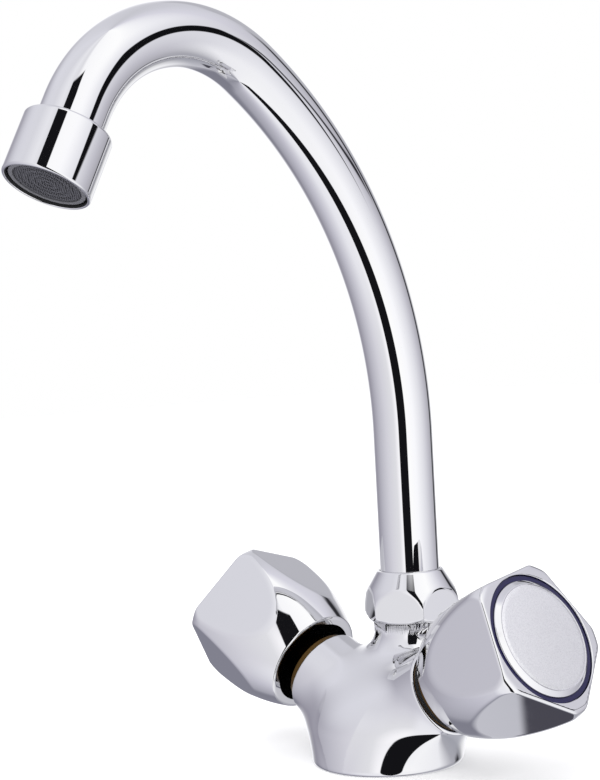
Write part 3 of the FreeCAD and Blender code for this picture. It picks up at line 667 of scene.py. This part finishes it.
def tube_surface():
    """A circle carried along the middle line, outside up and inside back again. The inside
    needs few rings."""
    size = sizes()[1]
    radius, wall = size.tube_radius / MM, size.tube_wall / MM
    total = spout_line(np.zeros(1))[2]
    place, angle, _ = spout_line(np.linspace(0, total, 420))
    round_ = whole_turn(160)[:, None]
    across = np.array([1.0, 0.0, 0.0])
    behind = np.stack([np.zeros_like(angle), np.cos(angle), np.sin(angle)], -1)
    facing = np.cos(round_) * across + np.sin(round_) * behind[:, None, :]
    outside = place[:, None, :] + radius * facing
    few = slice(None, None, -14)
    inside = place[few][:, None, :] + (radius - wall) * facing[few]
    return join((outside, facing), (inside, -facing[few]))


class TapSpout(bpy.types.Operator):
    """Builds the swivel spout's bent tube"""
    bl_idname = "tap.spout"
    bl_label = "Swivel spout"

    def execute(self, context):
        piece = skin(
            "spout_tube_skin", *tube_surface(), "swivel_spout", wrap=True,
            finishes=[bright_plating()],
        )
        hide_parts("spout_tube")
        return {"FINISHED"}


# ---------------------------------------------------------------- outlet
MOUTH_ROWS = 4 * ARC_ROWS    # rows of the housing before its mouth's wall, which is painted near black as shade
WIRE_SWING = 0.55            # rise of a wire over a crossing, in wire thicknesses
RIPPLE = 0.17                # height of the rings pressed into the mesh
RIPPLE_LENGTH = 2.3          # and the distance from one to the next


def outlet_frame():
    """Origin and axes of the outlet: its third axis points along the flow, from the housing's
    upper edge."""
    size = sizes()[1]
    total = spout_line(np.zeros(1))[2]
    place, angle, _ = spout_line(np.array([total - size.outlet_overlap / MM]))
    flow = np.array([0.0, -math.sin(angle[0]), math.cos(angle[0])])
    across = np.array([1.0, 0.0, 0.0])
    return place[0], np.stack([across, np.cross(flow, across), flow])


def woven_wires(radius, station, pitch, wire):
    """A plain weave: wires in two directions, each a thin hexagonal tube whose middle line
    rises and falls as a sine over and under the wires it crosses, cut to a circle and pressed
    into faint rings: a cosine of the distance from the middle."""
    points, faces = [], []
    count = int(radius / pitch)
    sides = 6
    ring = whole_turn(sides)
    broad, tall = wire / 2 * np.cos(ring), wire / 2 * np.sin(ring)
    base = 0
    for number in range(-count, count + 1):
        offset = number * pitch
        reach = math.sqrt(max(radius ** 2 - offset ** 2, 0.01))
        steps = max(6, int(reach * 8 / pitch))
        along = np.linspace(-reach, reach, steps)
        for crossing in (0, 1):
            phase = math.pi * (number + crossing)
            rise = wire * WIRE_SWING * np.cos(math.pi * along / pitch + phase)
            rise += RIPPLE * np.cos(2 * math.pi * np.hypot(along, offset) / RIPPLE_LENGTH)
            line = np.empty((steps, sides, 3))
            line[..., 0] = along[:, None]
            line[..., 1] = offset + broad
            line[..., 2] = station + rise[:, None] + tall
            index = base + np.arange(steps * sides).reshape(steps, sides)
            quads = strip(index[:-1], index[1:])
            ends = np.stack([index[0], index[-1][::-1]])
            if crossing:
                line, ends = line[..., [1, 0, 2]], ends[:, ::-1]
            else:
                quads = quads[:, ::-1]
            points.append(line.reshape(-1, 3))
            faces += quads.tolist() + ends.tolist()
            base += steps * sides
    return np.concatenate(points), faces


class TapOutlet(bpy.types.Operator):
    """Builds the outlet: a turned housing round a moulded ring and a woven screen"""
    bl_idname = "tap.outlet"
    bl_label = "Outlet"

    def execute(self, context):
        size = sizes()[1]
        place = outlet_frame()
        radius, end = size.outlet_radius / MM, size.outlet_length / MM
        sleeve, bore, mouth = 10.05, 10.0, 12.3
        shelf, floor = 6.0, end - 2.4
        surface = lay(*lathe((
            (sleeve, 0.6, 0), (sleeve, 0.0, 0.2), (radius, 0.0, 1.2), (radius, end, 0.7),
            (mouth, end, 0.3), (mouth - 0.05, floor, 0.1), (bore, floor, 0), (bore, shelf, 0),
            (sleeve, shelf, 0), (sleeve, 0.6, 0),
        ), 160), *place)
        housing = skin(
            "outlet_housing_skin", *surface, "swivel_spout", wrap=True,
            # The mouth's wall takes painted shade: near black where little light reaches inside
            # the outlet.
            finishes=[bright_plating(), painted_shade_inside("dull_bare_bore")], bands=[MOUTH_ROWS],
        )
        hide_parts("aerator_housing")
        inner, outer, face, back = 10.3, 11.6, end - 0.9, end - 2.3
        surface = lay(*lathe((
            (inner, back + 0.2, 0), (inner, back, 0), (outer, back, 0), (outer, face, 0.25),
            (inner, face, 0.15), (inner, back + 0.2, 0),
        )), *place)
        collar = skin("outlet_ring", *surface, "swivel_spout", wrap=True, finishes=[grey_acetal()])
        verts, faces = woven_wires(radius=10.35, station=end - 1.5, pitch=0.5, wire=0.26)
        verts, _ = lay(verts, verts, *place)
        mesh = bpy.data.meshes.new("outlet_screen")
        mesh.from_pydata((verts * MM).tolist(), [], faces)
        mesh.polygons.foreach_set("use_smooth", np.ones(len(faces), bool))
        mesh.materials.append(stainless_steel())
        screen = add_object("outlet_screen", mesh)
        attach(screen, "swivel_spout")
        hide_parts("aerator_screen")
        return {"FINISHED"}


# ---------------------------------------------------------------- knobs
CAVITY_ROWS = 4 + ARC_ROWS       # rows of the rear cavity, painted near black as shade
FROSTED_ROW = 5 + 2 * ARC_ROWS   # rows of a cap before its frosted face
CORNER_CUT = 1.6                 # how far a cone takes a knob's corners in at the front face
CORNER_SLOPE = 0.6               # and its radius per length, going back
CORNER_ROUNDING, FLAT_ROUNDING, RIM_ROUNDING = 1.8, 0.55, 0.5


def knob_surface(turned):
    """A half ellipsoid, widest at the front, cut by five flats parallel to the axis: the smooth
    maximum of the ellipsoid's field, a cone that takes the front corners in, the flats and the
    two end planes, cast from the axis. The rear cavity and the front well are turned forms that
    close it."""
    size = sizes()[2]
    rim, front = size.rim / MM, size.front / MM
    dome, depth, flats = size.dome_radius / MM, size.dome_depth / MM, size.flats / MM

    def field(points):
        away = np.hypot(points[..., 0], points[..., 1])
        back = front - points[..., 2]
        ellipsoid = (np.hypot(away / dome, back / depth) - 1) * dome
        cone = (away - (dome - CORNER_CUT) - CORNER_SLOPE * back) / math.hypot(1, CORNER_SLOPE)
        result = smooth_max(ellipsoid, cone, CORNER_ROUNDING)
        result = smooth_max(result, prism(points, 5, flats, turned), FLAT_ROUNDING)
        result = smooth_max(result, -back, size.front_rounding / MM)
        return smooth_max(result, rim - points[..., 2], RIM_ROUNDING)

    columns = 500
    well, seat, mouth = 20.95, front - RING_DEPTH, 15.2
    low, high = rim + 4.0, front - 6.0
    back_lean = -math.degrees(math.atan2(low - rim, mouth + 0.05))
    front_lean = math.degrees(math.atan2(front - high, well + 0.05))
    outer = cast_round(
        field, (low, high), (back_lean, front_lean), (21, 118, 39), columns, reach=60.0,
    )
    cavity, web, throat = 18.0, rim + 24.0, rim + 8.0
    behind = lathe((
        (0, web, 0), (cavity, web, 0), (cavity, throat, 1.0), (mouth, rim + 0.4, 0),
    ), columns)
    closing = lathe(((well, front - 0.75, 0), (well, seat, 0), (0, seat, 0)), columns)
    return join(behind, outer, closing)


class TapKnobs(bpy.types.Operator):
    """Builds the two five-sided knobs"""
    bl_idname = "tap.knobs"
    bl_label = "Knobs"

    def execute(self, context):
        size = sizes()[2]
        for name, side in SIDES:
            turned = size.hot_turn if name == "hot" else size.cold_turn
            surface = lay(*knob_surface(turned), *valve_frame(side))
            piece = skin(
                f"{name}_knob_skin", *surface, f"{name}_control",
                # The rear cavity's rows take painted shade: near black where little light reaches
                # inside the knob.
                finishes=[painted_shade_inside("dull_cast_zinc"), bright_plating()], bands=[CAVITY_ROWS],
            )
            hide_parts(f"{name}_handle")
        return {"FINISHED"}


class TapIndexes(bpy.types.Operator):
    """Builds the coloured rings and the frosted caps in the knobs' faces"""
    bl_idname = "tap.indexes"
    bl_label = "Rings and caps"

    def execute(self, context):
        front = sizes()[2].front / MM
        seat = front - RING_DEPTH
        inner, outer, face = 19.1, 20.85, front - 0.9
        ring = lathe((
            (inner, seat + 0.5, 0), (inner, seat, 0), (outer, seat, 0), (outer, face, 0.35),
            (inner, face, 0), (inner, seat + 0.5, 0),
        ), 160)
        edge, bevel, groove, dome = 19.0, 17.35, 17.0, 16.0
        disc = lathe((
            (0, seat, 0), (edge, seat, 0), (edge, front - 0.4, 0.5), (bevel, front + 0.85, 0.5),
            (groove, front + 0.75, 0.1), (dome, front + 0.95, 2.0), (0, front + 1.6, 0),
        ), 160)
        for name, side in SIDES:
            place = valve_frame(side)
            band = skin(
                f"{name}_ring_skin", *lay(*ring, *place), f"{name}_control", wrap=True,
                finishes=[glossy_ring(name)],
            )
            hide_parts(f"{name}_index_ring")
            cap = skin(
                f"{name}_cap_skin", *lay(*disc, *place), f"{name}_control",
                finishes=[bright_plating(), frosted_silver()], bands=[FROSTED_ROW],
            )
            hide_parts(f"{name}_index_cap")
        return {"FINISHED"}


# ---------------------------------------------------------------- carried-over pieces
class TapInner(bpy.types.Operator):
    """Gives each carried-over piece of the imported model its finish"""
    bl_idname = "tap.inner"
    bl_label = "Inner pieces"

    def execute(self, context):
        made = {
            "chrome_plate": bright_plating(),
            "frosted_silver": frosted_silver(),
            "blue_ring": glossy_ring("cold"),
            "red_ring": glossy_ring("hot"),
            # The housing's brass carries painted shade: darkened for the shadowed gap under each
            # knob.
            "bare_brass": machined("turned_brass", context.scene.tap_finish.brass, 0.28),
            "stainless_steel": stainless_steel(),
            "black_rubber": moulded("moulded_nitrile_rubber", "#1A1A1B", 0.6),
            "white_acetal": grey_acetal(),
            "disc_ceramic": moulded("lapped_alumina", "#E6E3DA", 0.15),
        }
        for part in frame["record"]["subparts"]:
            node = frame["nodes"][part["node"]]
            node.data.materials.clear()
            node.data.materials.append(made[part["material_slot"]])
        return {"FINISHED"}


# ---------------------------------------------------------------- studio
STUDIO_STRENGTH = 1.28
CEILING_RISE = (12.0, 48.0)      # heights, in degrees, between which walls pass to ceiling
BENCH_RISE = (-17.0, -45.0)      # and to the bench
FLOOR_GLOW = 0.2                 # what the camera sees on top of the floor's own light
LAMP_TARGET = (0.0, 0.0, 0.1)    # what the lamps point at, in metres
# Directions round the object are degrees from the studio's front, where the key view stands.
FRONT = math.radians(46.84)
# What hangs at eye level: (direction, tone).
WALLS = (
    (-180, "#B4B4BA"), (-174, "#F8F8FB"), (-163, "#EFEFF3"), (-151, "#A5A4AC"), (-140, "#8F8D99"),
    (-100, "#B7B6C0"), (-65, "#D0CFD7"), (-32, "#DDDDE1"), (-20, "#F5F4F7"), (15, "#FDFDFC"),
    (45, "#F8F8FB"), (80, "#DEDEE4"), (110, "#BEBDC6"), (130, "#A9A8B0"), (148, "#86868C"),
    (158, "#DCDCDE"), (171, "#EEEEF1"), (180, "#B4B4BA"),
)
# The ceiling and the pale bench, in the same way.
CEILING = (
    (-180, "#C4C4CB"), (-110, "#D6D6DE"), (-70, "#D4D4DB"), (-34, "#E4E4E9"), (-8, "#DADADF"),
    (6, "#F6F6F8"), (60, "#FDFDFD"), (80, "#EEEEF2"), (110, "#D4D3DD"), (150, "#C8C8D0"),
    (180, "#C4C4CB"),
)
BENCH = (
    (-180, "#BEBEC6"), (-150, "#8C8C97"), (-100, "#BEBDC8"), (-50, "#E4E4EA"), (30, "#F3F3F5"),
    (90, "#EAEAEE"), (125, "#A6A6AE"), (150, "#9C9DA6"), (180, "#BEBEC6"),
)
# Cards between the lamps: (name, from, to, lowest, highest, tone, softness across and upward).
CARDS = (
    ("low left", -178.0, -140.0, -60, -17, "#7C7C88", 8.0, 5.0),
    ("rear ceiling", 149.0, 181.0, 9, 45, "#AFAFB6", 3.0, 4.0),
    ("low card", 162.0, 175.6, -76, -53, "#47464F", 0.4, 2.0),
    ("side bar", 133.5, 144.5, -30, 32, "#2C2C30", 2.5, 5.0),
    ("right bar", 92.0, 128.0, 13.5, 16.5, "#26262A", 1.5, 1.0),
    ("right block", 77.0, 92.0, 4.4, 19.0, "#101013", 0.7, 1.0),
    ("front gap", -15.6, 14.5, -95, 55, "#131316", 0.7, 1.2),
)


def window(tree, value, low, high, soft):
    """One inside a span and nought outside it, with an S-shaped edge at each end."""
    sides = [
        add_node(
            tree, "ShaderNodeMapRange", S_CURVE, Value=value, i1=outer, i2=inner,
        ).outputs["Result"]
        for outer, inner in ((low - soft, low + soft), (high + soft, high - soft))
    ]
    return add_node(tree, "ShaderNodeMath", TIMES, i0=sides[0], i1=sides[1]).outputs[0]


def surroundings(tree):
    """Soft walls, a ceiling and a bench for the eye of the metal, with dark cards between
    them, as a product photographer sets them round polished pieces. A direction's turn and
    height pick the tone. The camera and everything matt see plain white."""
    place = add_node(
        tree, "ShaderNodeVectorRotate", {"rotation_type": "Z_AXIS"},
        Vector=add_node(tree, "ShaderNodeTexCoord").outputs["Generated"], Angle=FRONT,
    ).outputs["Vector"]
    parts = add_node(tree, "ShaderNodeSeparateXYZ", Vector=place).outputs
    heading = add_node(
        tree, "ShaderNodeMath", {"operation": "ARCTAN2"}, i0=parts["Y"], i1=parts["X"],
    )
    rise = add_node(tree, "ShaderNodeMath", {"operation": "ARCSINE"}, i0=parts["Z"])
    heading, rise = (
        add_node(
            tree, "ShaderNodeMath", TIMES, i0=angle.outputs[0], i1=math.degrees(1.0),
        ).outputs[0]
        for angle in (heading, rise)
    )
    turned = add_node(tree, "ShaderNodeMapRange", Value=heading, i1=-180.0, i2=180.0)
    seen, ceiling, bench = (
        add_node(
            tree, "ShaderNodeValToRGB", Fac=turned.outputs["Result"],
            stops=[((way + 180) / 360, linear(tone)) for way, tone in tones],
        ).outputs["Color"]
        for tones in (WALLS, CEILING, BENCH)
    )
    # What lies over the walls, in order: the share of each layer and its tone.
    layers = []
    for (low, high), other in ((CEILING_RISE, ceiling), (BENCH_RISE, bench)):
        share = add_node(tree, "ShaderNodeMapRange", S_CURVE, Value=rise, i1=low, i2=high)
        layers.append((share.outputs["Result"], other))
    for _, left, right, low, high, tone, soft, soft_up in CARDS:
        across = window(tree, heading, left, right, soft)
        upward = window(tree, rise, low, high, soft_up)
        share = add_node(tree, "ShaderNodeMath", TIMES, i0=across, i1=upward)
        layers.append((share.outputs[0], (*linear(tone), 1.0)))
    for share, tone in layers:
        seen = add_node(
            tree, "ShaderNodeMix", {"data_type": "RGBA"}, i0=share, i6=seen, i7=tone,
        ).outputs[2]
    studio = add_node(tree, "ShaderNodeBackground", Color=seen, Strength=STUDIO_STRENGTH)
    plain = add_node(tree, "ShaderNodeBackground", Color=(1.0, 1.0, 1.0, 1.0), Strength=1.0)
    path = add_node(tree, "ShaderNodeLightPath")
    choice = add_node(
        tree, "ShaderNodeMixShader", i0=path.outputs["Is Glossy Ray"],
        i1=plain.outputs[0], i2=studio.outputs[0],
    )
    add_node(tree, "ShaderNodeOutputWorld", Surface=choice.outputs[0])


class TapStudio(bpy.types.Operator):
    """Sets the floor, the lamps, the surroundings and the camera"""
    bl_idname = "tap.studio"
    bl_label = "Studio"

    def execute(self, context):
        scene = context.scene
        scene.view_settings.view_transform = "Standard"
        world = bpy.data.worlds.new("soft_studio")
        world.use_nodes = True
        world.node_tree.nodes.clear()
        surroundings(world.node_tree)
        scene.world = world
        self.floor()
        self.lamps()
        scene.camera = self.camera()
        return {"FINISHED"}

    def floor(self):
        """A pale seamless floor: white to the eye away from the shadow under the foot. The metal
        sees the bench instead."""
        mesh = bpy.data.meshes.new("studio_floor")
        half = 3.0
        mesh.from_pydata(
            [(-half, -half, 0), (half, -half, 0), (half, half, 0), (-half, half, 0)], [],
            [(0, 1, 2, 3)],
        )
        floor = add_object("studio_floor", mesh)
        finish, tree = new_finish("pale_seamless_paper")
        seen = add_node(tree, "ShaderNodeLightPath").outputs["Is Camera Ray"]
        glow = add_node(tree, "ShaderNodeMath", TIMES, i0=seen, i1=FLOOR_GLOW)
        end_finish(
            tree, Base_Color=(*linear("#F1F1F2"), 1), Roughness=0.95,
            Emission_Color=(1.0, 1.0, 1.0, 1.0), Emission_Strength=glow.outputs[0],
        )
        mesh.materials.append(finish)
        floor.visible_glossy = False

    def lamps(self):
        """Two broad soft lamps above, hidden from the metal, which sees the walls instead."""
        for name, place, power, side in (
            ("key_softbox", (0.5, -0.9, 1.2), 9.0, 0.9),
            ("fill_softbox", (-0.9, 0.2, 1.1), 5.0, 0.9),
        ):
            light = bpy.data.lights.new(name, "AREA")
            light.energy = power
            light.size = side
            lamp = add_object(name, light)
            back = np.subtract(place, LAMP_TARGET)
            right = np.cross((0.0, 0.0, 1.0), back)
            lamp.matrix_world = stand(place, right, np.cross(back, right))
            lamp.visible_glossy = False

    def camera(self):
        """The photograph's view: fitted to the outlines of foot, nut, tube and knobs."""
        lens = bpy.data.cameras.new("product_camera")
        lens.sensor_width = 36.0
        lens.lens = 80.18
        lens.clip_start = 0.01
        camera = add_object("product_camera", lens)
        place = (0.404312, -0.410570, 0.140189)
        right, up = (0.68409, 0.72747, -0.05297), (0.01648, 0.05718, 0.99823)
        camera.matrix_world = stand(place, right, up)
        return camera


def stand(place, right, up):
    """Stands an object at a place, given the ways of its X and, nearly, of its Y."""
    back = np.cross(right, up)
    axes = [unit(way) for way in (right, np.cross(back, right), back)]
    return Matrix.Translation(place) @ Matrix(np.transpose(axes).tolist()).to_4x4()


class TapPanel(bpy.types.Panel):
    """Lists the tap's pieces in the sidebar"""
    bl_idname = "VIEW3D_PT_tap"
    bl_label = "Kitchen tap"
    bl_space_type = "VIEW_3D"
    bl_region_type = "UI"
    bl_category = "Tap"

    def draw(self, context):
        for step in STEPS:
            self.layout.operator(step.bl_idname)
        for group in ("tap_body", "tap_spout", "tap_knob", "tap_finish"):
            box = self.layout.box()
            settings = getattr(context.scene, group)
            for name in settings.__annotations__:
                box.prop(settings, name)


GROUPS = (
    ("tap_body", TapBodySizes),
    ("tap_spout", TapSpoutSizes),
    ("tap_knob", TapKnobSizes),
    ("tap_finish", TapFinishes),
)
STEPS = (TapStudio, TapInner, TapBody, TapNut, TapSpout, TapOutlet, TapKnobs, TapIndexes)


def register():
    for name, group in GROUPS:
        bpy.utils.register_class(group)
        setattr(bpy.types.Scene, name, bpy.props.PointerProperty(type=group))
    for step in (*STEPS, TapPanel):
        bpy.utils.register_class(step)


def unregister():
    for step in reversed((*STEPS, TapPanel)):
        bpy.utils.unregister_class(step)
    for name, group in reversed(GROUPS):
        delattr(bpy.types.Scene, name)
        bpy.utils.unregister_class(group)


def main():
    register()
    for step in STEPS:
        family, name = step.bl_idname.split(".")
        getattr(getattr(bpy.ops, family), name)()


if __name__ == "__main__":
    main()
